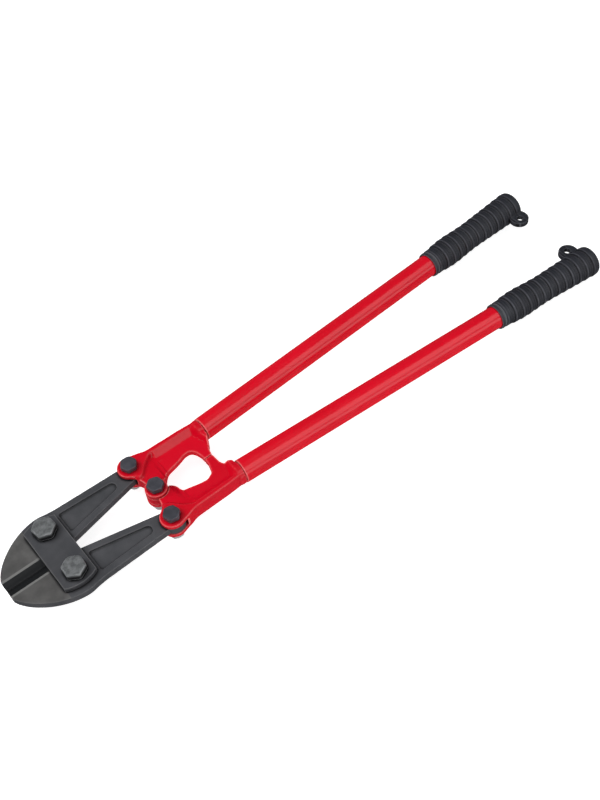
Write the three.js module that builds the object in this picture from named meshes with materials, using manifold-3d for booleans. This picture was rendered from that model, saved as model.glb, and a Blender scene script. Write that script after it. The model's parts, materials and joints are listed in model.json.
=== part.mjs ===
// Bolt cutters, 24 inch size, lying closed on their side.
// Two forged jaws swing on a pair of tie plates. Each handle drives one jaw through a link bolt,
// and the two handle heads meet at one centre bolt, a compound lever.
// Millimetres, +Z up, X runs from the jaw tip to the grips, the tool is symmetric about Y = 0.

import * as THREE from 'three';
import { mergeVertices } from 'three/addons/utils/BufferGeometryUtils.js';
import Module from 'manifold-3d';

const wasm = await Module();
wasm.setup();

// ---------------------------------------------------------------- driving dimensions

// Along the tool, measured from the jaw tip, and sideways from its centre line.
const jawPivot = { x: 51, y: 23.7 };
const linkPivot = { x: 138.3, y: 32.3 };
const centrePivot = { x: 143.9, y: 0 };
const tubeStart = { x: 209.8, y: 29.3 };
const tubeSplay = THREE.MathUtils.degToRad(3.3);
const tubeLength = 393;
const gripStart = 280.5;
const gripLength = 118.8;
const stop = { start: 192.8, end: 200.7 };
const overallLength = 609.6;

// Heights from the middle plane of the jaws.
const gap = 0.3;
const halfGap = gap / 2;
const jawHalf = 3.5;
const pocketFloor = 1.5;
const plateThickness = 4.5;
const earHalf = 8;
const slotHalf = jawHalf + gap;
const webHalf = 3;
const floorBelow = 21;
const jawNutBottom = -14.7;
const jawBoltRecess = 0.2;
const lockNutFoot = -16.4;
const lockNutBottom = -19;

// Radii and hex sizes.
const jawEye = 10.2;
const linkEar = 10.8;
const centreEar = 9.8;
const linkSlot = 12.4;
const centreRelief = centreEar + 0.4;
const jawBolt = { shank: 6, acrossFlats: 18, headHeight: 7.5 };
const linkBolt = { shank: 4, acrossFlats: 13.4, headHeight: 5.3 };
const lockNutCollar = 5.6;
const boreClearance = 0.35;
const tubeOuter = 10.7;
const tubeWall = 1.5;

// The upper jaw's hole is longer than its bolt is wide, so that the jaw can drift on the open pivot.
const openPivotDrift = 2.5;
const openPivotPlay = 0.9;

const tall = 40;
const arcSteps = 12;

// ---------------------------------------------------------------- materials

function makeMaterial(color, roughness, metalness) {
  return new THREE.MeshStandardMaterial({ color, roughness, metalness });
}

const redPaint = () => makeMaterial(0xc8102e, 0.28, 0.1);
const blackSteel = () => makeMaterial(0x36383b, 0.5, 0.8);
const zincSteel = () => makeMaterial(0x8d9294, 0.4, 0.9);
const blackBoltSteel = () => makeMaterial(0x2b2d30, 0.45, 0.8);
const blackRubber = () => makeMaterial(0x1d1f22, 0.75, 0.0);

// ---------------------------------------------------------------- solids

function toSolid(geometry) {
  const bare = geometry.clone();
  bare.deleteAttribute('normal');
  bare.deleteAttribute('uv');
  const merged = mergeVertices(bare, 1e-4);
  return new wasm.Manifold(new wasm.Mesh({
    numProp: 3,
    vertProperties: new Float32Array(merged.attributes.position.array),
    triVerts: new Uint32Array(merged.index.array),
  }));
}

function toGeometry(solid) {
  const mesh = solid.getMesh();
  const geometry = new THREE.BufferGeometry();
  geometry.setAttribute('position', new THREE.BufferAttribute(new Float32Array(mesh.vertProperties), 3));
  geometry.setIndex(new THREE.BufferAttribute(new Uint32Array(mesh.triVerts), 1));
  geometry.computeVertexNormals();
  return geometry;
}

const join = (...geometries) => geometries.map(toSolid).reduce((sum, solid) => sum.add(solid));
const cut = (solid, ...tools) => tools.map(toSolid).reduce((rest, tool) => rest.subtract(tool), solid);

function mirrored(geometry) {
  const flipped = geometry.clone().scale(1, -1, 1);
  const index = flipped.index.array;
  for (let i = 0; i < index.length; i += 3) {
    [index[i], index[i + 1]] = [index[i + 1], index[i]];
  }
  flipped.computeVertexNormals();
  return flipped;
}

// A plan outline raised from one height to another.
function prism(shape, low, high) {
  const settings = { depth: high - low, bevelEnabled: false, curveSegments: arcSteps };
  return new THREE.ExtrudeGeometry(shape, settings).translate(0, 0, low);
}

// A cross-section in Y and Z run along X.
function runAlongX(section, start, end) {
  const settings = { depth: end - start, bevelEnabled: false };
  const turned = new THREE.Matrix4().makeBasis(
    new THREE.Vector3(0, 1, 0), new THREE.Vector3(0, 0, 1), new THREE.Vector3(1, 0, 0));
  return new THREE.ExtrudeGeometry(section, settings).applyMatrix4(turned).translate(start, 0, 0);
}

// A side view in X and Z run along Y.
function runAlongY(sideView, start, end) {
  const settings = { depth: end - start, bevelEnabled: false };
  const turned = new THREE.Matrix4().makeBasis(
    new THREE.Vector3(1, 0, 0), new THREE.Vector3(0, 0, 1), new THREE.Vector3(0, -1, 0));
  return new THREE.ExtrudeGeometry(sideView, settings).applyMatrix4(turned).translate(0, end, 0);
}

const polygon = (...points) => new THREE.Shape(points.map(([x, y]) => new THREE.Vector2(x, y)));
const vectors = (...points) => points.map(([x, y]) => new THREE.Vector2(x, y));

function upright(radius, centre, low, high, sides = 36) {
  return new THREE.CylinderGeometry(radius, radius, high - low, sides)
    .rotateX(Math.PI / 2)
    .translate(centre.x, centre.y, (low + high) / 2);
}

function hexagon(acrossFlats, centre, low, high, turn) {
  return new THREE.CylinderGeometry(acrossFlats / Math.sqrt(3), acrossFlats / Math.sqrt(3), high - low, 6)
    .rotateX(Math.PI / 2)
    .rotateZ(turn)
    .translate(centre.x, centre.y, (low + high) / 2);
}

// ---------------------------------------------------------------- jaws

// Plan of the upper jaw: blade, belly, arm and rear eye.
function jawOutline() {
  const shape = new THREE.Shape();
  const apex = 41;
  const innerSlope = 0.212;
  shape.moveTo(0, halfGap);
  shape.lineTo(apex, halfGap);
  const towardsEye = Math.atan(innerSlope);
  shape.lineTo(linkPivot.x + jawEye * Math.sin(towardsEye), linkPivot.y - jawEye * Math.cos(towardsEye));
  shape.absarc(linkPivot.x, linkPivot.y, jawEye, towardsEye - Math.PI / 2, Math.PI * 0.78, false);
  shape.lineTo(68, 40.6);
  shape.splineThru(vectors([60, 41.5], [50, 42.8], [36, 40], [22, 33.4], [10, 24], [3, 15.5], [0, 9.5]));
  shape.closePath();
  return shape;
}

// Recess between the raised borders of the arm.
function pocketOutline() {
  const shape = new THREE.Shape();
  shape.moveTo(68, 14);
  shape.lineTo(69.5, 13);
  shape.absarc(116, 27.7, 4.6, -Math.PI * 0.43, Math.PI * 0.47, false);
  shape.lineTo(69.5, 34.3);
  shape.lineTo(68, 33);
  shape.closePath();
  return shape;
}

// Ground bevel along the cutting edge, with a narrow relief where it meets the face.
function bladeBevel(facing) {
  const land = 0.15;
  const section = vectors([-2, land], [halfGap, land], [7, 3.1], [10.1, 3.6], [10.1, 6], [-2, 6]);
  const points = section.map((p) => new THREE.Vector2(p.x, p.y * facing));
  return runAlongX(new THREE.Shape(points), -2, 37);
}

function jaw(holeDrift) {
  const body = join(prism(jawOutline(), -jawHalf, jawHalf));
  const reach = jawBolt.shank + (holeDrift > 0 ? openPivotPlay : boreClearance);
  const low = { x: jawPivot.x, y: jawPivot.y - holeDrift };
  const high = { x: jawPivot.x, y: jawPivot.y + holeDrift };
  const tools = [
    bladeBevel(1),
    bladeBevel(-1),
    prism(pocketOutline(), pocketFloor, tall),
    prism(pocketOutline(), -tall, -pocketFloor),
    upright(linkBolt.shank + boreClearance, linkPivot, -tall, tall, 28),
    upright(reach, low, -tall, tall, 28),
  ];
  if (holeDrift > 0) {
    const middle = polygon(
      [low.x - reach, low.y], [low.x + reach, low.y],
      [high.x + reach, high.y], [high.x - reach, high.y]);
    tools.push(upright(reach, high, -tall, tall, 28), prism(middle, -tall, tall));
  }
  return toGeometry(cut(body, ...tools));
}

// ---------------------------------------------------------------- tie plates

function tiePlate(low) {
  const halfWidth = 14.8;
  const cornerY = 32.8;
  const sagitta = 3.8;
  const radius = (halfWidth ** 2 + sagitta ** 2) / (2 * sagitta);
  const sweep = Math.asin(halfWidth / radius);
  const arcCentre = cornerY + sagitta - radius;
  const middle = jawPivot.x - 0.8;
  const shape = new THREE.Shape();
  shape.moveTo(middle - halfWidth, cornerY);
  shape.lineTo(middle - halfWidth, -cornerY);
  shape.absarc(middle, -arcCentre, radius, -Math.PI / 2 - sweep, -Math.PI / 2 + sweep, false);
  shape.lineTo(middle + halfWidth, cornerY);
  shape.absarc(middle, arcCentre, radius, Math.PI / 2 - sweep, Math.PI / 2 + sweep, false);
  const holes = [1, -1].map((side) => {
    const centre = { x: jawPivot.x, y: side * jawPivot.y };
    return upright(jawBolt.shank + boreClearance, centre, -tall, tall, 28);
  });
  return toGeometry(cut(join(prism(shape, low, low + plateThickness)), ...holes));
}

// ---------------------------------------------------------------- fasteners

function bolt(kind, centre, seat, end, turn) {
  const head = hexagon(kind.acrossFlats, centre, seat, seat + kind.headHeight, turn);
  return toGeometry(join(head, upright(kind.shank, centre, end, seat + 1, 28)));
}

function plainNut(kind, centre, seat, turn) {
  const blank = join(hexagon(kind.acrossFlats, centre, jawNutBottom, seat, turn));
  return toGeometry(cut(blank, upright(kind.shank + boreClearance, centre, -tall, tall, 28)));
}

// A hexagon with the round collar that holds the locking insert.
function lockNut(kind, centre, seat, turn) {
  const blank = join(
    hexagon(kind.acrossFlats, centre, lockNutFoot, seat, turn),
    upright(lockNutCollar, centre, lockNutBottom, seat - 1, 32));
  return toGeometry(cut(blank, upright(kind.shank + boreClearance, centre, -tall, tall, 28)));
}

// ---------------------------------------------------------------- handle heads

// Plan of the upper head behind its two knuckles: outer rail, neck, stop and window edge.
// On the head with the tongue the window has a tighter front corner and is a little wider.
function headOutline(forked) {
  const corner = forked
    ? vectors([156.3, 5], [158.9, 7.8], [163.2, 9.9])
    : vectors([156.5, 5.2], [158.9, 8.4], [159.4, 11.2], [160.9, 14]);
  const side = forked
    ? vectors([170.6, 11.6], [176.4, 13.2], [182.5, 15.2], [187.8, 14.9], [191, 11.2], [stop.start, 5])
    : vectors([168.1, 15.6], [175.3, 17.4], [182.5, 18.2], [186.1, 16.8], [189.6, 14.3], [stop.start, 5]);
  const back = forked
    ? vectors([202.3, 6.5], [204.8, 10.3], [206.6, 13.8], [208.8, 17.6])
    : vectors([201, 8], [201.5, 11.8], [203.6, 15.3], [208.8, 19]);
  const rail = vectors([200, 37.7], [190, 38.3], [175, 38.6], [161, 38.9], [151, 40], [142, 42.4]);
  const shape = new THREE.Shape();
  shape.moveTo(141, 4);
  shape.lineTo(153.2, 3);
  shape.splineThru(corner);
  shape.splineThru(side);
  shape.lineTo(stop.start, halfGap);
  shape.lineTo(stop.end, halfGap);
  shape.splineThru(back);
  shape.lineTo(208.8, 36.6);
  shape.splineThru(rail);
  shape.lineTo(133, 38);
  shape.lineTo(131.2, 24.4);
  shape.splineThru(vectors([135.6, 20.6], [138.6, 15.5], [139.8, 10], [141, 4]));
  return shape;
}

// Where the head may hold metal: full height at the knuckles, the outer rail and the shoulder, thin between.
function headThickness() {
  const rail = polygon(
    [23, webHalf], [33, earHalf], [60, earHalf], [60, -earHalf], [33, -earHalf], [23, -webHalf]);
  const knuckles = polygon(
    [110, -earHalf], [157, -earHalf], [161, -webHalf], [200, -webHalf],
    [200, webHalf], [161, webHalf], [157, earHalf], [110, earHalf]);
  const shoulder = polygon(
    [199.5, -webHalf], [205, -earHalf], [220, -earHalf], [220, earHalf], [205, earHalf], [199.5, webHalf]);
  return join(runAlongX(rail, 110, 220), runAlongY(knuckles, -20, 60), runAlongY(shoulder, -20, 60));
}

// Room for the rear eye and arm of the jaw between the ears.
function jawSlot() {
  const sweep = polygon([115, 14], [138.3, 19.9], [143, 32], [143, 60], [115, 60]);
  return [prism(sweep, -slotHalf, slotHalf), upright(linkSlot, linkPivot, -slotHalf, slotHalf, 48)];
}

// A round piece turned about the axis of the handle tube. Its profile holds [distance, radius] pairs.
function turnedOnTube(profile, sides = 32) {
  const points = profile.map(([distance, radius]) => new THREE.Vector2(radius, distance));
  return new THREE.LatheGeometry(points, sides)
    .rotateZ(-Math.PI / 2)
    .rotateZ(tubeSplay)
    .translate(tubeStart.x, tubeStart.y, 0);
}

// The head carries either the two outer ears of the centre pivot or the tongue between them.
function handleHead(forked) {
  const tangRadius = tubeOuter - tubeWall - gap;
  const neck = turnedOnTube([
    [-10.5, 0], [-10.5, 5.5], [-5.5, tubeOuter - 0.4], [-gap, tubeOuter - 0.4],
    [-gap, tangRadius], [25, tangRadius], [26, tangRadius - 1], [26, 0],
  ]);
  const plan = join(
    prism(headOutline(forked), -earHalf, earHalf),
    upright(linkEar, linkPivot, -earHalf, earHalf, 40));
  let solid = plan.intersect(headThickness()).add(toSolid(neck));
  if (forked) {
    solid = solid.add(toSolid(upright(centreEar, centrePivot, -earHalf, earHalf, 40)));
    solid = cut(solid, upright(centreRelief, centrePivot, -slotHalf, slotHalf, 48));
  } else {
    solid = cut(
      solid,
      upright(centreRelief, centrePivot, jawHalf, tall, 48),
      upright(centreRelief, centrePivot, -tall, -jawHalf, 48));
    solid = solid.add(toSolid(upright(centreEar, centrePivot, -jawHalf, jawHalf, 40)));
  }
  const bore = linkBolt.shank + boreClearance;
  const holes = [linkPivot, centrePivot].map((centre) => upright(bore, centre, -tall, tall, 28));
  return toGeometry(cut(solid, ...jawSlot(), ...holes));
}

// ---------------------------------------------------------------- handle tubes and grips

function handleTube() {
  const inner = tubeOuter - tubeWall;
  const profile = [[0, inner], [0, tubeOuter], [tubeLength, tubeOuter], [tubeLength, inner], [0, inner]];
  return turnedOnTube(profile);
}

// Radius of the grip between its grooves: a swell behind the mouth, a waist and a fuller end.
function gripRadius(distance) {
  const along = distance / gripLength;
  const mouth = 1.2 * Math.max(0, 1 - along / 0.15);
  const swell = 1.1 * Math.exp(-(((along - 0.24) / 0.13) ** 2));
  const end = 1.5 * Math.min(1, Math.max(0, (along - 0.5) / 0.4));
  return 13.5 - mouth + swell + end;
}

function gripProfile() {
  const bore = tubeOuter + gap;
  const grooveCount = 13;
  const firstGroove = 5;
  const pitch = 8.8;
  const grooveHalf = 0.8;
  const grooveDepth = 0.8;
  const endGap = 1;
  const profile = [[0, bore], [0, gripRadius(0)]];
  for (let groove = 0; groove < grooveCount; groove += 1) {
    const middle = firstGroove + groove * pitch;
    profile.push([middle - grooveHalf, gripRadius(middle - grooveHalf)]);
    profile.push([middle, gripRadius(middle) - grooveDepth]);
    profile.push([middle + grooveHalf, gripRadius(middle + grooveHalf)]);
  }
  profile.push([gripLength - 3.5, 14.6], [gripLength - 1, 13], [gripLength, 10.5], [gripLength, 0]);
  profile.push([tubeLength - gripStart + endGap, 0], [tubeLength - gripStart + endGap, bore], [0, bore]);
  return profile.map(([distance, radius]) => [distance + gripStart, radius]);
}

// The hanging loop stands on the inner side of the grip, near its end.
function hangingLoop() {
  const half = 2.6;
  const reach = 9.3;
  const centre = { x: overallLength - reach, y: 32.6 };
  const hole = { x: centre.x, y: 31.2 };
  const root = polygon(
    [centre.x - reach, centre.y], [centre.x + reach, centre.y],
    [centre.x + reach, centre.y + 9], [centre.x - reach, centre.y + 9]);
  const ring = join(upright(reach, centre, -half, half, 32), prism(root, -half, half));
  return cut(ring, upright(3.2, hole, -tall, tall, 24));
}

function grip() {
  const body = toSolid(turnedOnTube(gripProfile(), 28));
  const radius = tubeOuter + gap;
  const end = tubeLength + 1;
  const bore = toSolid(turnedOnTube([[gripStart - 1, 0], [gripStart - 1, radius], [end, radius], [end, 0]]));
  return toGeometry(body.add(hangingLoop().subtract(bore)));
}

// ---------------------------------------------------------------- assembly

const boltCutters = new THREE.Group();
boltCutters.name = 'bolt_cutters';
boltCutters.position.set(-overallLength / 2, 0, floorBelow);

function place(name, geometry, material) {
  const mesh = new THREE.Mesh(geometry, material);
  mesh.name = name;
  boltCutters.add(mesh);
}

const plateLow = jawHalf + gap;
const plateHigh = plateLow + plateThickness;
const on = (pivot, side) => ({ x: pivot.x, y: side * pivot.y });

place('upper_jaw', jaw(openPivotDrift), blackSteel());
place('lower_jaw', mirrored(jaw(0)), blackSteel());
place('front_tie_plate', tiePlate(plateLow), blackSteel());
place('back_tie_plate', tiePlate(-plateHigh), blackSteel());

const jawBoltTurns = { upper: 0.15, lower: -0.04 };
const linkBoltTurns = { upper: 0.45, lower: 0.3 };
const centreBoltTurn = 0.2;
const jawBoltEnd = jawNutBottom + jawBoltRecess;
const jawSeat = plateHigh + gap;
const headSeat = earHalf + gap;

for (const [word, side] of [['upper', 1], ['lower', -1]]) {
  const jawCentre = on(jawPivot, side);
  const linkCentre = on(linkPivot, side);
  const jawTurn = jawBoltTurns[word];
  const linkTurn = linkBoltTurns[word];
  place(`${word}_jaw_bolt`, bolt(jawBolt, jawCentre, jawSeat, jawBoltEnd, jawTurn), zincSteel());
  place(`${word}_jaw_nut`, plainNut(jawBolt, jawCentre, -jawSeat, jawTurn), zincSteel());
  place(`${word}_link_bolt`, bolt(linkBolt, linkCentre, headSeat, -floorBelow, linkTurn), blackBoltSteel());
  place(`${word}_link_nut`, lockNut(linkBolt, linkCentre, -headSeat, linkTurn), zincSteel());
}
place('center_bolt', bolt(linkBolt, centrePivot, headSeat, -floorBelow, centreBoltTurn), blackBoltSteel());
place('center_nut', lockNut(linkBolt, centrePivot, -headSeat, centreBoltTurn), zincSteel());

place('upper_handle_head', handleHead(true), redPaint());
place('lower_handle_head', mirrored(handleHead(false)), redPaint());
place('upper_handle_tube', handleTube(), redPaint());
place('lower_handle_tube', mirrored(handleTube()), redPaint());
place('upper_grip', grip(), blackRubber());
place('lower_grip', mirrored(grip()), blackRubber());

export default boltCutters;
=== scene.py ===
"""Bolt cutters, closed, lying on a pale floor.

The shapes are worked out in tool millimetres: X from the jaw tip towards the grips, Y from the
centre line, Z from the middle plane of the jaws. The upper half has positive Y, the lower half is
its mirror image. Only the finished meshes are turned into the frame's metres.
"""

import json
import math

import bmesh
import bpy
import numpy as np
from mathutils import Matrix, Vector


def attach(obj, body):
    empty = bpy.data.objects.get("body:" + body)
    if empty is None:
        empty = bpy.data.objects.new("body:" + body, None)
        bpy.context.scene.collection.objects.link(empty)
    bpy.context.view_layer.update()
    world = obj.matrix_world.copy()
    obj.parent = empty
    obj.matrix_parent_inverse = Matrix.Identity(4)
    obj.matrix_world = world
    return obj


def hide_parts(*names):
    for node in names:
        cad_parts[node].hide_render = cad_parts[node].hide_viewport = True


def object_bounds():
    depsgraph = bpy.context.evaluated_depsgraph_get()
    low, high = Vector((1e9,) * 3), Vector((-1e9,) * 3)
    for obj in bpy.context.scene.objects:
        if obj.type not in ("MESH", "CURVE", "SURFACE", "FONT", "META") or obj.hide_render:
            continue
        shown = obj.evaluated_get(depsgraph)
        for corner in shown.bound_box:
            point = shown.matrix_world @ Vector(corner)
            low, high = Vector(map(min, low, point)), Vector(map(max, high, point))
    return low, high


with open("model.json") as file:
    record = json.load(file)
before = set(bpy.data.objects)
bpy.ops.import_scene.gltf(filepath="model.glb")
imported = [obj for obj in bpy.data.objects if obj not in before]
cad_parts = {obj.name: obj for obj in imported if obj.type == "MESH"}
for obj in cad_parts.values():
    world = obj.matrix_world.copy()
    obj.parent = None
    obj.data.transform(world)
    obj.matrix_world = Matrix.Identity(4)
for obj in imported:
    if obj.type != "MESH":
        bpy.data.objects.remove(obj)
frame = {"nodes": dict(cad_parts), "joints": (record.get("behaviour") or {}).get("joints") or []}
cad_low, cad_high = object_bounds()

MM = 0.001
JOINTS = {joint["name"]: joint for joint in frame["joints"]}
ORIGIN = np.array([cad_low.x, 0.0, JOINTS["center_pivot"]["pos_m"][2]])
SIDES = (("upper", 1), ("lower", -1))


def in_tool_mm(places):
    """Frame metres to tool millimetres."""
    return (np.asarray(places, float) - ORIGIN) / MM


def in_frame(places):
    """Tool millimetres to frame metres."""
    return np.asarray(places, float) * MM + ORIGIN


CENTRE_PIVOT = in_tool_mm(JOINTS["center_pivot"]["pos_m"])[:2]


# ---------------------------------------------------------------- mesh helpers

def node_points(node):
    """The corners of a CAD node, in tool millimetres."""
    return in_tool_mm([v.co for v in frame["nodes"][node].data.vertices])


def ramp(value, start, end):
    """0 before start and 1 after end, with a smooth step between them."""
    share = np.clip((value - start) / (end - start), 0, 1)
    return share * share * (3 - 2 * share)


def rounded(corners, radius, steps=5):
    """An open line with each inner corner turned into a curve that starts radius away from it."""
    corners = [np.asarray(c, float) for c in corners]
    line = [corners[0]]
    for before, corner, after in zip(corners, corners[1:], corners[2:]):
        reach = min(radius, 0.45 * np.linalg.norm(before - corner), 0.45 * np.linalg.norm(after - corner))
        start = corner + (before - corner) / np.linalg.norm(before - corner) * reach
        end = corner + (after - corner) / np.linalg.norm(after - corner) * reach
        for t in np.linspace(0, 1, steps):
            line.append((1 - t) ** 2 * start + 2 * t * (1 - t) * corner + t * t * end)
    line.append(corners[-1])
    return np.array(line)


def loft(rings, ring_closed=True):
    """One skin over a list of rings of points. Rings that close on themselves make a torus."""
    count = len(rings[0])
    points = np.concatenate(rings)
    faces = []
    pairs = list(zip(range(len(rings)), range(1, len(rings))))
    if not ring_closed:
        pairs.append((len(rings) - 1, 0))
    for low, high in pairs:
        for k in range(count):
            after = (k + 1) % count
            faces.append((low * count + k, low * count + after, high * count + after, high * count + k))
    if ring_closed:
        first, last = len(points), len(points) + 1
        points = np.vstack([points, rings[0].mean(0), rings[-1].mean(0)])
        top = (len(rings) - 1) * count
        for k in range(count):
            after = (k + 1) % count
            faces.append((first, after, k))
            faces.append((last, top + k, top + after))
    return points, faces


def make_object(name, points, faces, smooth=True):
    """A mesh object from points in tool millimetres, kept in those units for now."""
    mesh = bpy.data.meshes.new(name)
    mesh.from_pydata([tuple(p) for p in points], [], faces)
    mesh.validate()
    mesh.polygons.foreach_set("use_smooth", [smooth] * len(mesh.polygons))
    thing = bpy.data.objects.new(name, mesh)
    bpy.context.scene.collection.objects.link(thing)
    return thing


def applied(thing):
    """The object with its modifiers worked into its mesh."""
    bpy.context.view_layer.update()
    graph = bpy.context.evaluated_depsgraph_get()
    mesh = bpy.data.meshes.new_from_object(thing.evaluated_get(graph))
    thing.modifiers.clear()
    old, thing.data = thing.data, mesh
    bpy.data.meshes.remove(old)
    return thing


def cad_copy(name, node):
    """A copy of a CAD node's mesh, in tool millimetres."""
    faces = [tuple(p.vertices) for p in frame["nodes"][node].data.polygons]
    thing = make_object(name, node_points(node), faces)
    weld = thing.modifiers.new("weld", "WELD")
    weld.merge_threshold = 0.002
    return applied(thing)


def points_of(thing):
    places = np.zeros(len(thing.data.vertices) * 3)
    thing.data.vertices.foreach_get("co", places)
    return places.reshape(-1, 3)


def set_points(thing, places):
    thing.data.vertices.foreach_set("co", places.ravel())
    thing.data.update()


def soften(thing, rounds, share=0.5):
    """Moves each point towards the middle of its neighbours, which rounds the edges."""
    places = points_of(thing)
    edges = np.zeros(len(thing.data.edges) * 2, int)
    thing.data.edges.foreach_get("vertices", edges)
    a, b = edges[0::2], edges[1::2]
    ends = np.concatenate([a, b])
    others = np.concatenate([b, a])
    neighbours = np.bincount(ends, minlength=len(places))[:, None]
    for _ in range(rounds):
        sums = [np.bincount(ends, weights=places[others, axis], minlength=len(places)) for axis in range(3)]
        places += share * (np.stack(sums, 1) / neighbours - places)
    set_points(thing, places)


def make_outward(thing):
    """Turns every face of a closed mesh outwards."""
    work = bmesh.new()
    work.from_mesh(thing.data)
    bmesh.ops.recalc_face_normals(work, faces=work.faces)
    work.to_mesh(thing.data)
    work.free()


def add_solid(thing, other):
    """Works another closed solid into this one, and removes the other."""
    for each in (thing, other):
        make_outward(each)
    union = thing.modifiers.new("union", "BOOLEAN")
    union.operation = "UNION"
    union.solver = "EXACT"
    union.object = other
    applied(thing)
    bpy.data.objects.remove(other)


def reskinned(thing, voxel):
    """One even skin over everything in the object."""
    remesh = thing.modifiers.new("skin", "REMESH")
    remesh.mode = "VOXEL"
    remesh.voxel_size = voxel
    remesh.use_smooth_shade = True
    return applied(thing)


def thinned(thing, faces):
    """Fewer triangles where the skin is flat."""
    thing.data.calc_loop_triangles()
    decimate = thing.modifiers.new("thin", "DECIMATE")
    decimate.ratio = min(1.0, faces / len(thing.data.loop_triangles))
    return applied(thing)


def finish_piece(thing, body, nodes, material):
    """Turns the mesh into frame metres, and hands the piece to its body."""
    set_points(thing, in_frame(points_of(thing)))
    thing.data.materials.clear()
    thing.data.materials.append(material)
    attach(thing, body)
    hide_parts(*nodes)
    return thing


# ---------------------------------------------------------------- material helpers

class Paint:
    """A node material under construction, with short ways to add its nodes."""

    def __init__(self, name):
        self.material = bpy.data.materials.new(name)
        self.material.use_nodes = True
        self.tree = self.material.node_tree
        self.shader = self.tree.nodes["Principled BSDF"]
        self.place = self.add("ShaderNodeTexCoord").outputs["Object"]

    def add(self, kind, **settings):
        node = self.tree.nodes.new(kind)
        for key, value in settings.items():
            setattr(node, key, value)
        return node

    def link(self, source, socket):
        if hasattr(source, "links"):
            self.tree.links.new(source, socket)
        else:
            socket.default_value = source

    def math(self, operation, *values, clamp=False):
        node = self.add("ShaderNodeMath", operation=operation, use_clamp=clamp)
        for value, socket in zip(values, node.inputs):
            self.link(value, socket)
        return node.outputs[0]

    def noise(self, scale, detail=4.0, roughness=0.55, stretch=(1, 1, 1)):
        mapping = self.add("ShaderNodeMapping")
        mapping.inputs["Scale"].default_value = stretch
        self.link(self.place, mapping.inputs["Vector"])
        node = self.add("ShaderNodeTexNoise")
        node.inputs["Scale"].default_value = scale
        node.inputs["Detail"].default_value = detail
        node.inputs["Roughness"].default_value = roughness
        self.link(mapping.outputs[0], node.inputs["Vector"])
        return node.outputs["Fac"]

    def between(self, value, start, end, low=0.0, high=1.0):
        """value from start to end, smoothly taken to low to high."""
        node = self.add("ShaderNodeMapRange", interpolation_type="SMOOTHSTEP")
        self.link(value, node.inputs["Value"])
        for key, number in (("From Min", start), ("From Max", end), ("To Min", low), ("To Max", high)):
            node.inputs[key].default_value = number
        return node.outputs["Result"]

    def mix(self, share, first, second):
        node = self.add("ShaderNodeMix", data_type="RGBA")
        self.link(share, node.inputs["Factor"])
        for colour, socket in ((first, node.inputs[6]), (second, node.inputs[7])):
            self.link(colour if hasattr(colour, "links") else (*colour, 1.0), socket)
        return node.outputs[2]

    def axes(self):
        node = self.add("ShaderNodeSeparateXYZ")
        self.link(self.place, node.inputs[0])
        return node.outputs[0], node.outputs[1], node.outputs[2]

    def depth(self, z):
        """Distance from the jaws' middle plane, in mm."""
        above = self.math("SUBTRACT", z, float(ORIGIN[2]))
        return self.math("ABSOLUTE", self.math("MULTIPLY", above, 1 / MM))

    def bump(self, height, distance, strength=1.0, under=None):
        node = self.add("ShaderNodeBump")
        node.inputs["Strength"].default_value = strength
        node.inputs["Distance"].default_value = distance
        self.link(height, node.inputs["Height"])
        if under is not None:
            self.link(under, node.inputs["Normal"])
        return node.outputs["Normal"]

    def near(self, distance, inside=False, only_local=False):
        """1 in the open, less where something is within distance (in mm). Inside finds the outer edges."""
        node = self.add("ShaderNodeAmbientOcclusion", samples=8, inside=inside, only_local=only_local)
        node.inputs["Distance"].default_value = distance * MM
        return node.outputs["AO"]

    def with_painted_shade_and_highlight(self, colour, crevice, crevice_shade_colour, edge, edge_highlight_colour, strength=0.8):
        """Colour with painted shade in its crevices and painted highlights along its edges, each reaching a
        distance in mm.
        """
        # Painted shade: darker where other surfaces are near. Painted highlight: lighter along the outer
        # edges.
        crevice_shade_share = self.between(self.near(crevice), 0.96, 0.58, 0.0, strength)
        edge_highlight_share = self.between(self.near(edge, inside=True, only_local=True), 0.94, 0.70, 0.0, strength)
        return self.mix(edge_highlight_share, self.mix(crevice_shade_share, colour, crevice_shade_colour), edge_highlight_colour)

    def set(self, **sockets):
        for key, value in sockets.items():
            self.link(value, self.shader.inputs[key.replace("_", " ")])
        return self.material


# ---------------------------------------------------------------- materials

def red_enamel(name, thick, thin, shine):
    """Glossy red paint with faint orange peel, a little deeper in its thick places."""
    paint = Paint(name)
    cloud = paint.noise(18, detail=2)
    colour = paint.mix(paint.between(cloud, 0.35, 0.65), thick, thin)
    # Painted shade in darker red in the crevices, and a painted pink highlight along the edges.
    colour = paint.with_painted_shade_and_highlight(colour, 2.5, (0.34, 0.0010, 0.009), 1.5, (0.86, 0.20, 0.20), 0.75)
    peel = paint.noise(420, detail=2)
    roughness = paint.between(paint.noise(60), 0.3, 0.7, 0.16, 0.22)
    normal = paint.bump(peel, 0.00003, 0.35)
    paint.shader.inputs["IOR"].default_value = 1.48
    paint.shader.inputs["Specular IOR Level"].default_value = shine
    return paint.set(Base_Color=colour, Roughness=roughness, Normal=normal)


def scaled_steel(paint):
    """Colour, roughness and height of forged steel under black oxide."""
    cloud = paint.noise(45, detail=5)
    grain = paint.noise(900, detail=3)
    colour = paint.mix(paint.between(cloud, 0.3, 0.7), (0.052, 0.054, 0.060), (0.074, 0.075, 0.082))
    return colour, cloud, grain


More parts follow.
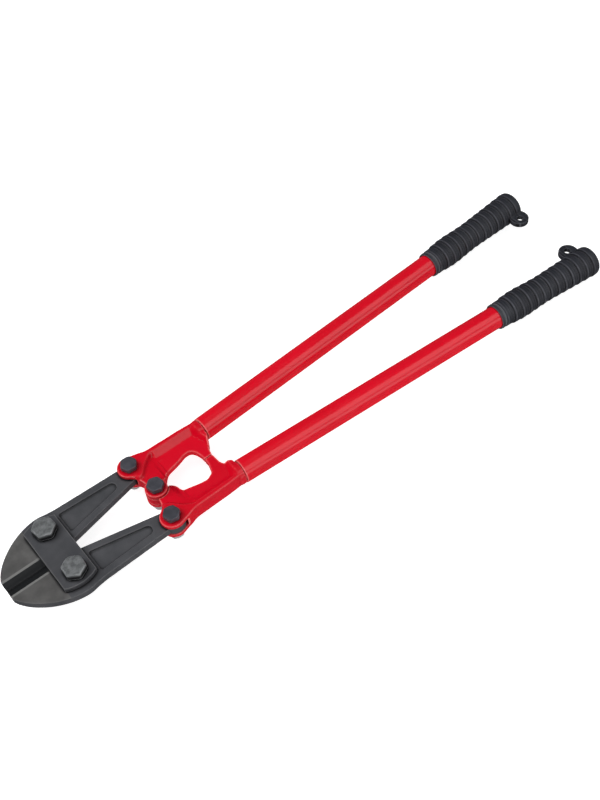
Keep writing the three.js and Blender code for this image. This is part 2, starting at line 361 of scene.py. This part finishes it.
def jaw_steel():
    """Black forged steel. The blade faces are ground, and the cutting bevels are finer and painted near
    black as shade.
    """
    paint = Paint("jaw_steel")
    x, y, z = paint.axes()
    along = paint.math("MULTIPLY", paint.math("SUBTRACT", x, float(ORIGIN[0])), 1 / MM)
    across = paint.math("ABSOLUTE", paint.math("MULTIPLY", y, 1 / MM))
    colour, cloud, grain = scaled_steel(paint)
    depth = paint.depth(z)
    face = paint.between(depth, JAW_HALF - 0.45, JAW_HALF - 0.2)
    top = paint.math("MAXIMUM", face, paint.between(across, RELIEF_WIDTH + 0.4, RELIEF_WIDTH))
    front = paint.math("MULTIPLY", paint.between(along, BLADE_END + 0.2, BLADE_END - 0.2), top)
    ground = paint.math("MULTIPLY", front, paint.between(across, BEVEL_WIDTH - 0.1, BEVEL_WIDTH + 0.1))
    relief = paint.math("MULTIPLY", ground, paint.between(across, BEVEL_WIDTH + 2.3, BEVEL_WIDTH + 1.9))
    bevel = paint.math("MULTIPLY", front, paint.between(across, BEVEL_WIDTH + 0.1, BEVEL_WIDTH - 0.1))
    scratches = paint.noise(260, detail=4, stretch=(0.12, 1, 1))
    ground_colour = paint.mix(paint.between(cloud, 0.3, 0.7), (0.070, 0.069, 0.068), (0.120, 0.118, 0.116))
    relief_colour = paint.mix(scratches, (0.14, 0.14, 0.138), (0.20, 0.20, 0.195))
    colour = paint.mix(ground, colour, ground_colour)
    colour = paint.mix(relief, colour, relief_colour)
    # Painted shade near black in the crevices, and a painted grey highlight along the edges.
    colour = paint.with_painted_shade_and_highlight(colour, 3.0, (0.005, 0.005, 0.006), 0.9, (0.13, 0.13, 0.135), 0.95)
    # Painted shade: the cutting bevels are painted near black.
    colour = paint.mix(bevel, colour, (0.011, 0.012, 0.013))
    worn = paint.between(scratches, 0.35, 0.65, 0.36, 0.46)
    dull = paint.between(grain, 0.3, 0.7, 0.46, 0.58)
    roughness = paint.add("ShaderNodeMix", data_type="FLOAT")
    paint.link(ground, roughness.inputs["Factor"])
    paint.link(dull, roughness.inputs[2])
    paint.link(worn, roughness.inputs[3])
    normal = paint.bump(grain, 0.00006, 0.5)
    paint.shader.inputs["Metallic"].default_value = 0.1
    paint.shader.inputs["Specular IOR Level"].default_value = 0.4
    return paint.set(Base_Color=colour, Roughness=roughness.outputs[0], Normal=normal)


def plate_steel():
    """Black oxide over rolled plate, a little smoother than the forgings."""
    paint = Paint("plate_steel")
    colour, cloud, grain = scaled_steel(paint)
    # Painted shade near black in the crevices, and a painted grey highlight along the edges.
    colour = paint.with_painted_shade_and_highlight(colour, 3.0, (0.005, 0.005, 0.006), 0.9, (0.13, 0.13, 0.135), 0.95)
    roughness = paint.between(cloud, 0.3, 0.7, 0.40, 0.50)
    normal = paint.bump(grain, 0.00004, 0.4)
    paint.shader.inputs["Metallic"].default_value = 0.1
    paint.shader.inputs["Specular IOR Level"].default_value = 0.4
    return paint.set(Base_Color=colour, Roughness=roughness, Normal=normal)


def zinc_plate(name, dark, light, shaded_flanks_below=None):
    """Zinc with a cloudy grain between two greys; its flanks nearer the jaws than the given depth are
    painted near black as shade.
    """
    paint = Paint(name)
    cloud = paint.noise(240, detail=6, roughness=0.65)
    colour = paint.mix(paint.between(cloud, 0.25, 0.75), dark, light)
    # A lighter copy of the zinc colour, for the painted edge highlight.
    edge = [min(1.6 * level, 0.85) for level in light]
    if shaded_flanks_below:
        # Painted shade on the flanks below the given depth, near black.
        unshaded_share = paint.between(paint.depth(paint.axes()[2]), shaded_flanks_below - 2.5, shaded_flanks_below)
        colour = paint.mix(unshaded_share, (0.016, 0.016, 0.017), colour)
    # Painted shade near black in the crevices, and a painted highlight along the edges.
    colour = paint.with_painted_shade_and_highlight(colour, 7.0, (0.010, 0.010, 0.011), 1.2, edge, 0.9)
    roughness = paint.between(paint.noise(500), 0.3, 0.7, 0.30, 0.44)
    normal = paint.bump(paint.noise(1200, detail=2), 0.00005, 0.5)
    paint.shader.inputs["Metallic"].default_value = 0.35
    return paint.set(Base_Color=colour, Roughness=roughness, Normal=normal)


def oiled_black():
    """Black oxide on bolts, oiled, with a bluish cast."""
    paint = Paint("oiled_black")
    cloud = paint.noise(150, detail=4)
    colour = paint.mix(paint.between(cloud, 0.3, 0.7), (0.044, 0.046, 0.056), (0.066, 0.066, 0.080))
    # Painted shade near black in the crevices, and a painted highlight along the edges.
    colour = paint.with_painted_shade_and_highlight(colour, 3.0, (0.008, 0.008, 0.010), 0.8, (0.11, 0.11, 0.125), 0.85)
    roughness = paint.between(cloud, 0.3, 0.7, 0.32, 0.42)
    normal = paint.bump(paint.noise(900, detail=3), 0.00005, 0.4)
    paint.shader.inputs["Metallic"].default_value = 0.1
    return paint.set(Base_Color=colour, Roughness=roughness, Normal=normal)


def grip_phase(paint):
    """How far along its rib a place on either grip is, 0 to 1, and how far it is from the grip's mouth."""
    mouth, way, *_ = grip_place("upper")
    x, y, _ = paint.axes()
    offset = -(ORIGIN[0] / MM + mouth[0]) * way[0] - mouth[1] * way[1]
    along = paint.math("MULTIPLY_ADD", x, float(way[0] / MM), float(offset))
    distance = paint.math("MULTIPLY_ADD", paint.math("ABSOLUTE", y), float(way[1] / MM), along)
    ribs = paint.math("MULTIPLY_ADD", distance, 1 / GROOVE_PITCH, -FIRST_GROOVE / GROOVE_PITCH)
    return paint.math("FRACT", ribs), distance


def moulded_rubber():
    """Matt black rubber with a fine grain, with painted highlights on the crests of its ribs and painted
    shade in the grooves and fine rings between them.
    """
    paint = Paint("moulded_rubber")
    phase, distance = grip_phase(paint)
    start, end = RIBBED
    past_start = paint.between(distance, start, start + 1)
    ribbed = paint.math("MULTIPLY", past_start, paint.between(distance, end, end - 1))
    patchy = paint.math("MULTIPLY", ribbed, paint.between(paint.noise(160, detail=3), 0.35, 0.6, 0.3, 1.0))
    from_groove = paint.math("PINGPONG", phase, 0.5)
    crest_highlight = paint.math("MULTIPLY", paint.between(phase, 0.09, 0.14), paint.between(phase, 0.30, 0.20))
    ring = paint.math("MAXIMUM", *[
        paint.between(paint.math("ABSOLUTE", paint.math("SUBTRACT", phase, place)), 0.08, 0.03)
        for place in RINGS])
    faint_ring_shade = paint.math("MULTIPLY", ring, 0.6)
    groove = paint.math("MAXIMUM", paint.between(from_groove, 0.12, 0.05), faint_ring_shade)
    cloud = paint.noise(35, detail=3)
    grain = paint.noise(1100, detail=3)
    colour = paint.mix(paint.between(cloud, 0.3, 0.7), (0.016, 0.017, 0.023), (0.025, 0.027, 0.035))
    # Painted highlight on the crests of the ribs.
    colour = paint.mix(paint.math("MULTIPLY", crest_highlight, patchy), colour, (0.066, 0.069, 0.082))
    # Painted shade in the grooves and, fainter, in the fine rings.
    colour = paint.mix(paint.math("MULTIPLY", groove, patchy), colour, (0.003, 0.003, 0.005))
    # Painted shade in the crevices, and a painted highlight along the edges.
    colour = paint.with_painted_shade_and_highlight(colour, 2.6, (0.002, 0.002, 0.003), 1.0, (0.095, 0.098, 0.11), 0.95)
    roughness = paint.between(grain, 0.3, 0.7, 0.46, 0.60)
    normal = paint.bump(grain, 0.00008, 0.5)
    return paint.set(Base_Color=colour, Roughness=roughness, Normal=normal)


# ---------------------------------------------------------------- jaws and tie plates

BLADE_END = 36.4
BEVEL_WIDTH = 7.0
RELIEF_WIDTH = 10.1
RELIEF_HEIGHT = 3.1
EDGE_GAP = 0.03
FORGING_VOXEL = 0.42
JAW_VOXEL = 0.36
JAW_HALF = 3.5


def blade_core(side):
    """A wedge inside the cutting bevels, thick enough at the edge to be skinned over evenly."""
    section = [(0.15, -0.6), (BEVEL_WIDTH, -RELIEF_HEIGHT), (BEVEL_WIDTH, RELIEF_HEIGHT), (0.15, 0.6)]
    rings = [[(x, side * y, z) for y, z in section] for x in (0.0, 36.9)]
    return loft([np.array(ring) for ring in rings])


def blade_height(from_edge):
    """Half height of the blade at a distance from its cutting edge."""
    return np.interp(from_edge, [0, BEVEL_WIDTH, RELIEF_WIDTH], [0.1, RELIEF_HEIGHT, JAW_HALF])


def grind_blade(jaw, side):
    """Brings the cutting edge up to its partner and grinds its two bevels flat."""
    places = points_of(jaw)
    from_edge = side * places[:, 1]
    edge = (from_edge < 1.2) & (places[:, 0] < 41)
    drawn_out = EDGE_GAP + (from_edge - 0.15) * (1.2 - EDGE_GAP) / 1.05
    from_edge = np.where(edge, np.maximum(drawn_out, EDGE_GAP), from_edge)
    limit = np.where(places[:, 0] < BLADE_END, blade_height(from_edge), JAW_HALF)
    places[:, 1] = side * from_edge
    places[:, 2] = np.clip(places[:, 2], -limit, limit)
    set_points(jaw, places)


def build_jaws(material):
    for word, side in SIDES:
        jaw = cad_copy(f"{word}_jaw_forging", f"{word}_jaw")
        core = make_object("core", *blade_core(side))
        add_solid(jaw, core)
        reskinned(jaw, JAW_VOXEL)
        soften(jaw, 2)
        grind_blade(jaw, side)
        thinned(jaw, 44000)
        finish_piece(jaw, f"{word}_jaw", [f"{word}_jaw"], material)


def build_plates(material):
    for word in ("front", "back"):
        plate = cad_copy(f"{word}_plate", f"{word}_tie_plate")
        bevel = plate.modifiers.new("edges", "BEVEL")
        bevel.width = 0.55
        bevel.segments = 3
        bevel.limit_method = "ANGLE"
        bevel.angle_limit = math.radians(40)
        bevel.harden_normals = True
        applied(plate)
        finish_piece(plate, "tie_plates", [f"{word}_tie_plate"], material)


# ---------------------------------------------------------------- bolts and nuts

BOLT_TURNS = 96
CHAMFER_SLOPE = math.tan(math.radians(28))


def hexagon_of(node):
    """(centre, half the width across flats, turn) of the hexagon in a bolt or nut."""
    corners = node_points(node)
    centre = (corners.min(0) + corners.max(0))[:2] / 2
    out = np.linalg.norm(corners[:, :2] - centre, axis=1)
    far = corners[out.argmax(), :2] - centre
    return centre, out.max() * math.cos(math.pi / 6), math.atan2(far[1], far[0])


def hex_reach(angles, half_flats, turn, corner=0.06):
    """How far the hexagon's side is from its centre at each angle, its corners a little rounded."""
    within = (angles - turn) % (math.pi / 3) - math.pi / 6
    sharp = half_flats / np.cos(within)
    return sharp - corner * half_flats * np.exp(-((np.pi / 6 - np.abs(within)) / 0.07) ** 2) * 0.5


def bolt_rings(centre, angles, line):
    """Rings about a bolt's axis. Each entry of line gives (radii, heights), as numbers or per angle."""
    rings = []
    for radii, heights in line:
        radii = np.broadcast_to(radii, angles.shape)
        heights = np.broadcast_to(heights, angles.shape)
        x = centre[0] + radii * np.cos(angles)
        y = centre[1] + radii * np.sin(angles)
        rings.append(np.stack([x, y, heights], 1))
    return rings


def hex_side(angles, half_flats, turn, low, high, chamfer_low, chamfer_high):
    """The line of a hexagonal side from its lower face to its upper face, chamfered as asked."""
    reach = hex_reach(angles, half_flats, turn)
    flat = 0.93 * half_flats
    drop = (reach - flat) * CHAMFER_SLOPE
    soft = 0.25
    line = []
    if chamfer_low:
        line += [(flat - soft, low), (flat + soft, low + soft * CHAMFER_SLOPE)]
        line += [(reach - 0.2, low + drop - 0.08), (reach, low + drop + 0.15)]
    else:
        line += [(reach - 0.2, low), (reach, low + 0.2)]
    if chamfer_high:
        line += [(reach, high - drop - 0.15), (reach - 0.2, high - drop + 0.08)]
        line += [(flat + soft, high - soft * CHAMFER_SLOPE), (flat - soft, high)]
    else:
        line += [(reach, high - 0.2), (reach - 0.2, high)]
    return line


def thread_line(angles, radius, low, high, pitch):
    """A helical thread as rings, from low to high."""
    depth = 0.45 * pitch
    line = []
    for height in np.arange(low, high, pitch / 6):
        phase = (height / pitch - angles / math.tau) % 1
        line.append((radius - depth * np.abs(2 * phase - 1) ** 1.3, height))
    return line


def build_bolt(word, body, material, pitch):
    node = f"{word}_bolt"
    centre, half_flats, turn = hexagon_of(node)
    corners = node_points(node)
    end, top = corners[:, 2].min(), corners[:, 2].max()
    shank = np.linalg.norm(corners[corners[:, 2] < end + 0.1, :2] - centre, axis=1).max()
    head = corners[np.linalg.norm(corners[:, :2] - centre, axis=1) > shank + 1, 2].min()
    angles = np.linspace(0, math.tau, BOLT_TURNS, endpoint=False)
    washer = 0.35
    nut_top = node_points(f"{word}_nut")[:, 2].max()
    line = [(shank - 1.0, end), (shank - 0.5, end + 0.25)]
    line += thread_line(angles, shank, end + 0.5, nut_top - 1, pitch)
    line += [(shank, nut_top), (shank, head - 0.1), (shank + 0.1, head)]
    line += [(0.9 * half_flats, head), (0.92 * half_flats, head + washer)]
    line += hex_side(angles, half_flats, turn, head + washer, top, False, True)
    line += [(0.8 * half_flats, top - 0.02), (0.72 * half_flats, top - 0.04)]
    bolt = make_object(f"{word}_bolt_turned", *loft(bolt_rings(centre, angles, line)))
    sharpen(bolt)
    finish_piece(bolt, body, [node], material)


def build_nut(word, body, material):
    node = f"{word}_nut"
    centre, half_flats, turn = hexagon_of(node)
    corners = node_points(node)
    out = np.linalg.norm(corners[:, :2] - centre, axis=1)
    low, high = corners[:, 2].min(), corners[:, 2].max()
    foot = corners[out > half_flats, 2].min()
    bore = out.min()
    angles = np.linspace(0, math.tau, BOLT_TURNS, endpoint=False)
    mouth = 0.5
    line = [(bore + mouth, low)]
    if foot > low + mouth:
        collar = out[corners[:, 2] < low + 0.1].max()
        line += [(collar - 1.2, low), (collar - 0.4, low + 0.3), (collar, low + 1.0), (collar, foot)]
    line += hex_side(angles, half_flats, turn, foot, high, True, True)
    line += [(bore + mouth, high), (bore, high - mouth), (bore, low + mouth)]
    nut = make_object(f"{word}_nut_turned", *loft(bolt_rings(centre, angles, line), ring_closed=False))
    sharpen(nut)
    finish_piece(nut, body, [node], material)


def sharpen(thing, angle=26):
    """Faces that meet at more than this angle keep a crisp edge between them."""
    thing.data.set_sharp_from_angle(angle=math.radians(angle))


def build_fasteners(zinc, zinc_painted_lighter, black):
    bodies = {"upper_link": "upper_handle", "lower_link": "lower_handle", "center": "upper_handle"}
    for word, _ in SIDES:
        build_bolt(f"{word}_jaw", "tie_plates", zinc, 1.75)
        build_nut(f"{word}_jaw", "tie_plates", zinc)
    for word, body in bodies.items():
        build_bolt(word, body, black, 1.25)
        build_nut(word, body, zinc_painted_lighter)


# ---------------------------------------------------------------- handle heads

# Half heights of the head's faces, and where they meet over its plan.
WEB = 3.0
SADDLE = 5.4
FULL = 8.0
COLLAR = 11.0
RAIL_EDGE = 33.4
PANEL = {"start": 159.5, "run": 2.4, "low_y": 27.6}
LIP = [
    (131, 21), (137.4, 21), (138.2, 18.4), (140.6, 17.6),
    (144.2, 20), (149, 25.4), (154, 30), (PANEL["start"], RAIL_EDGE)]
LIP_RUN = (-3.0, 0.6)
SADDLE_RUN = (168, 146)
EAR_RUN = (11.2, 9.9)
SHOULDER = {"x": 199.7, "y": 26.1, "slope": 0.29, "run": 5.0}
BARREL = {"front": (150, 158), "back": (208, 203), "full_y": 38, "bulge": 1.5, "power": 2.5}


def distance_to_line(places, line):
    """Distance from each place to an open line, positive on its left."""
    best = np.full(len(places), 1e9)
    signed = np.zeros(len(places))
    for start, end in zip(line[:-1], line[1:]):
        way = end - start
        share = np.clip(((places - start) @ way) / (way @ way), 0, 1)
        nearest = start + share[:, None] * way
        gap = places - nearest
        distance = np.linalg.norm(gap, axis=1)
        side = np.sign(way[0] * gap[:, 1] - way[1] * gap[:, 0])
        closer = distance < best - 1e-9
        best = np.where(closer, distance, best)
        signed = np.where(closer, side * distance, signed)
    return signed


def face_height(x, y, forked):
    """Half height of the head's face over the plan, for the upper head."""
    places = np.stack([x, y], 1)
    lip = np.vstack([rounded(np.array(LIP, float), 2.5, 6), [(215, RAIL_EDGE)]])
    raised = ramp(distance_to_line(places, lip), *LIP_RUN)
    boss = WEB + (FULL - WEB) * raised
    slope = np.clip((y - PANEL["low_y"]) / (RAIL_EDGE - PANEL["low_y"]), 0, 1)
    panel = WEB + (FULL - WEB) * slope * ramp(x, PANEL["start"], PANEL["start"] + PANEL["run"])
    saddle = WEB + (SADDLE - WEB) * ramp(x, *SADDLE_RUN)
    border = SHOULDER["x"] + (SHOULDER["y"] - y) * SHOULDER["slope"]
    shoulder = WEB + (COLLAR - WEB) * np.clip((x - border) / SHOULDER["run"], 0, 1)
    height = np.maximum.reduce([boss, panel, saddle, shoulder])
    if forked:
        out = np.linalg.norm(places - CENTRE_PIVOT, axis=1)
        ear = SADDLE + (FULL - SADDLE) * ramp(out, *EAR_RUN)
        height = np.maximum(height, np.where(out < EAR_RUN[0], ear, 0))
    return height


def barrel(places, side):
    """Rounds the outer wall of the head behind its ear, from its full width at half height."""
    out = side * places[:, 1]
    share = ramp(places[:, 0], *BARREL["front"]) * ramp(places[:, 0], *BARREL["back"])
    share = share * ramp(out, RAIL_EDGE, BARREL["full_y"])
    height = np.clip(np.abs(places[:, 2]) / FULL, 0, 1)
    places[:, 1] -= side * BARREL["bulge"] * share * height ** BARREL["power"]


def build_heads(material):
    for word, side in SIDES:
        head = cad_copy(f"{word}_head_casting", f"{word}_handle_head")
        reskinned(head, FORGING_VOXEL)
        places = points_of(head)
        limit = face_height(places[:, 0], side * places[:, 1], forked=side > 0)
        places[:, 2] = np.clip(places[:, 2], -limit, limit)
        barrel(places, side)
        set_points(head, places)
        soften(head, 9)
        thinned(head, 50000)
        finish_piece(head, f"{word}_handle", [f"{word}_handle_head"], material)


# ---------------------------------------------------------------- handle tubes and grips

TUBE_TURNS = 96


def tube_axis(word):
    """(start, direction, length, outer radius, wall) of a handle tube, from its CAD node."""
    corners = node_points(f"{word}_handle_tube")
    middle = corners.mean(0)
    _, _, axes = np.linalg.svd(corners - middle)
    way = axes[0] * np.sign(axes[0][0])
    along = (corners - middle) @ way
    out = np.linalg.norm(corners - middle - along[:, None] * way, axis=1)
    start = middle + way * along.min()
    return start, way, along.max() - along.min(), out.max(), out.max() - out.min()


def about_axis(start, way, line, turns):
    """Rings about a handle's axis. Each entry of line is (distance along, radius)."""
    across = np.cross((0, 0, 1), way)
    angles = np.linspace(0, math.tau, turns, endpoint=False)
    spokes = np.cos(angles)[:, None] * across + np.sin(angles)[:, None] * np.array((0, 0, 1.0))
    return [start + way * distance + spokes * radius for distance, radius in line]


def build_tubes(material):
    lip = 0.5
    for word, _ in SIDES:
        start, way, length, outer, wall = tube_axis(word)
        inner = outer - wall
        corners = [(length / 2, outer), (0, outer), (0, inner), (length / 2, inner)]
        front = rounded(corners, lip, 5)
        back = rounded([(length / 2, inner), (length, inner), (length, outer), (length / 2, outer)], lip, 5)
        line = np.vstack([front[:-1], back[:-1]])
        rings = about_axis(start, way, line, TUBE_TURNS)
        tube = make_object(f"{word}_tube", *loft(rings, ring_closed=False))
        finish_piece(tube, f"{word}_handle", [f"{word}_handle_tube"], material)


GROOVES = 13
GROOVE_PITCH = 8.8
FIRST_GROOVE = 5.0
GROOVE_DEPTH = 1.0
RIB_FALL = 0.9
RINGS = (0.36, 0.66)
RING_DEPTH = 0.3
RIBBED = (FIRST_GROOVE - 2, FIRST_GROOVE + (GROOVES - 1) * GROOVE_PITCH + 2)
GRIP_TURNS = 80
LOOP = {"y": 32.6, "hole_y": 31.2, "reach": 9.3, "hole": 3.2, "half": 2.6}
LOOP_X = in_tool_mm(cad_high)[0] - LOOP["reach"]


def grip_radius(distance, length):
    """Radius of the grip over its ribs: a swell behind the mouth, a waist and a fuller end."""
    along = distance / length
    mouth = 1.2 * np.maximum(0, 1 - along / 0.15)
    swell = 1.1 * np.exp(-(((along - 0.24) / 0.13) ** 2))
    end = 1.5 * np.clip((along - 0.5) / 0.4, 0, 1)
    return 13.5 - mouth + swell + end


def rib_height(distance):
    """How far the surface is below the crest of its rib: deep grooves, with two fine rings between them."""
    phase = ((distance - FIRST_GROOVE) / GROOVE_PITCH) % 1
    away = np.minimum(phase, 1 - phase) * GROOVE_PITCH
    groove = GROOVE_DEPTH * np.exp(-(away / 0.8) ** 2)
    rings = RING_DEPTH * sum(np.exp(-((phase - place) / 0.06) ** 2) for place in RINGS)
    ribbed = (distance > RIBBED[0]) & (distance < RIBBED[1])
    return np.where(ribbed, groove + RIB_FALL * phase + rings, 0.0)


def grip_line(length, bore, depth):
    """The turned line of a grip, from its mouth over the ribs, round the end and back up its bore."""
    wall = np.arange(1.0, length - 6.0, 0.3)
    outside = [(d, max(grip_radius(d, length) - rib_height(d), bore + 0.5)) for d in wall]
    end_radius = grip_radius(length, length)
    mouth = [(0.0, bore + 0.3), (0.1, grip_radius(0, length) - 0.6), (0.4, grip_radius(0, length) - 0.15)]
    corner = (length - 0.2, end_radius - 0.6)
    cap = rounded([(length - 6.0, end_radius - 0.1), corner, (length, 0.5)], 3.2, 10)
    inside = [(depth, 0.5), (depth, bore), (1.0, bore)]
    return mouth + outside + [tuple(p) for p in cap[1:]], inside


def ring_loop(side):
    """The hanging loop: a thick eye with rounded edges, growing out of the grip's inner side."""
    turns = 56
    angles = np.linspace(0, math.tau, turns, endpoint=False)
    centre = np.array([LOOP_X, LOOP["y"]])
    hole = np.array([LOOP_X, LOOP["hole_y"]])
    flare = np.where(np.sin(angles) > 0, 1.0, 0.0)
    outer = centre + np.stack([np.cos(angles), np.sin(angles) * (1 + 0.35 * flare)], 1) * LOOP["reach"]
    inner = hole + np.stack([np.cos(angles), np.sin(angles)], 1) * LOOP["hole"]
    section = rounded([(0.5, -1), (1, -1), (1, 1), (0, 1), (0, -1), (0.5, -1)], 0.2, 5)
    half = LOOP["half"]
    rings = []
    for share, level in section[:-1]:
        plan = inner + (outer - inner) * share
        rings.append(np.stack([plan[:, 0], side * plan[:, 1], np.full(turns, level * half)], 1))
    return loft(rings, ring_closed=False)


def grip_place(word):
    """(mouth, direction, length, bore, depth of the bore) of a grip, from its CAD node and its tube's."""
    start, way, length, outer, _ = tube_axis(word)
    corners = node_points(f"{word}_grip")
    along = (corners - start) @ way
    grip_start = along[np.abs(corners[:, 2]) > outer].min()
    return start + way * grip_start, way, along.max() - grip_start, outer + 0.3, length - grip_start + 1


def build_grips(material):
    for word, side in SIDES:
        mouth, way, length, bore, depth = grip_place(word)
        outside, inside = grip_line(length, bore, depth)
        rings = about_axis(mouth, way, outside + inside, GRIP_TURNS)
        grip = make_object(f"{word}_grip_sleeve", *loft(rings, ring_closed=False))
        loop = make_object(f"{word}_grip_eye", *ring_loop(side))
        add_solid(grip, loop)
        finish_piece(grip, f"{word}_handle", [f"{word}_grip"], material)


# ---------------------------------------------------------------- studio

def build_camera():
    """A standing view of the whole tool from its jaw end, a little rolled."""
    turn, lift, roll = (math.radians(a) for a in (-33.458, 51.551, 6.318))
    target = Vector(in_frame((294.8, -2.0, 0)))
    distance = 0.97985
    back = Vector((math.sin(turn) * math.cos(lift), -math.cos(turn) * math.cos(lift), math.sin(lift)))
    right = Vector((math.cos(turn), math.sin(turn), 0))
    down = (-back).cross(right)
    rolled_right = math.cos(roll) * right + math.sin(roll) * down
    rolled_up = -(-math.sin(roll) * right + math.cos(roll) * down)
    camera = bpy.data.objects.new("camera", bpy.data.cameras.new("camera"))
    bpy.context.scene.collection.objects.link(camera)
    pose = Matrix((rolled_right, rolled_up, back)).transposed().to_4x4()
    pose.translation = target + back * distance
    camera.matrix_world = pose
    camera.data.lens = 49.986
    camera.data.clip_start = 0.05
    bpy.context.scene.camera = camera


def build_floor():
    """A white light table, lit from above and faintly from below."""
    points = [(-1, -1, 0), (1, -1, 0), (1, 1, 0), (-1, 1, 0)]
    reach = 30.0
    mesh = bpy.data.meshes.new("floor")
    mesh.from_pydata([(x * reach, y * reach, cad_low.z - 0.0002) for x, y, _ in points], [], [(0, 1, 2, 3)])
    floor = bpy.data.objects.new("floor", mesh)
    bpy.context.scene.collection.objects.link(floor)
    paint = Paint("floor_white")
    shade = paint.mix(paint.between(paint.noise(3), 0.3, 0.7), (0.60, 0.60, 0.60), (0.62, 0.62, 0.62))
    paint.shader.inputs["Emission Color"].default_value = (1, 1, 1, 1)
    paint.shader.inputs["Emission Strength"].default_value = 0.85
    mesh.materials.append(paint.set(Base_Color=shade, Roughness=0.6))
    floor.visible_glossy = False


def soft_light(name, place, target, size, radiance, diffuse=True, glossy=True):
    """A large rectangular light of the given radiance, that may be left out of reflections."""
    data = bpy.data.lights.new(name, "AREA")
    data.shape = "RECTANGLE"
    data.size, data.size_y = size
    data.energy = radiance * math.pi * size[0] * size[1]
    light = bpy.data.objects.new(name, data)
    bpy.context.scene.collection.objects.link(light)
    light.location = place
    light.rotation_euler = (Vector(target) - Vector(place)).to_track_quat("-Z", "Y").to_euler()
    light.visible_diffuse = diffuse
    light.visible_glossy = glossy


def build_world(level):
    """Weak even light from all round."""
    world = bpy.data.worlds.new("studio")
    bpy.context.scene.world = world
    world.use_nodes = True
    background = world.node_tree.nodes["Background"]
    background.inputs["Color"].default_value = (1, 1, 1, 1)
    background.inputs["Strength"].default_value = level


def build_lights():
    middle = (0.0, 0.0, 0.0)
    build_world(0.07)
    soft_light("softbox_high", (0.4, -1.15, 1.75), middle, (3.2, 1.35), 1.1, diffuse=False)
    soft_light("softbox_low", (0.4, -1.85, 0.55), middle, (3.2, 0.75), 1.1, diffuse=False)
    soft_light("overhead", (-0.9, 0.2, 2.2), middle, (3.0, 3.6), 1.25, glossy=False)
    soft_light("side_key", (-1.3, 1.2, 1.9), middle, (1.6, 1.6), 4.7, glossy=False)
    soft_light("front_fill", (0.3, -1.55, 0.95), middle, (2.6, 1.0), 1.9, glossy=False)
    bpy.context.scene.view_settings.view_transform = "Standard"


# ---------------------------------------------------------------- the scene

build_camera()
build_floor()
build_lights()

cast_red = red_enamel("cast_enamel", (0.57, 0.0010, 0.012), (0.62, 0.0014, 0.015), 0.5)
# A lighter copy of the red enamel for the tubes: painted light to make up for their darker shading.
tube_red_painted_lighter = red_enamel("tube_enamel_painted_lighter", (0.66, 0.0012, 0.013), (0.71, 0.0016, 0.016), 0.7)
build_jaws(jaw_steel())
build_plates(plate_steel())
zinc = zinc_plate("zinc_plate", (0.09, 0.096, 0.10), (0.24, 0.25, 0.255), shaded_flanks_below=14.6)
# A lighter copy of the zinc for the nuts, painted light where they sit in shade.
zinc_painted_lighter = zinc_plate("zinc_painted_lighter", (0.50, 0.51, 0.52), (0.64, 0.65, 0.66))
build_fasteners(zinc, zinc_painted_lighter, oiled_black())
build_heads(cast_red)
build_tubes(tube_red_painted_lighter)
build_grips(moulded_rubber())
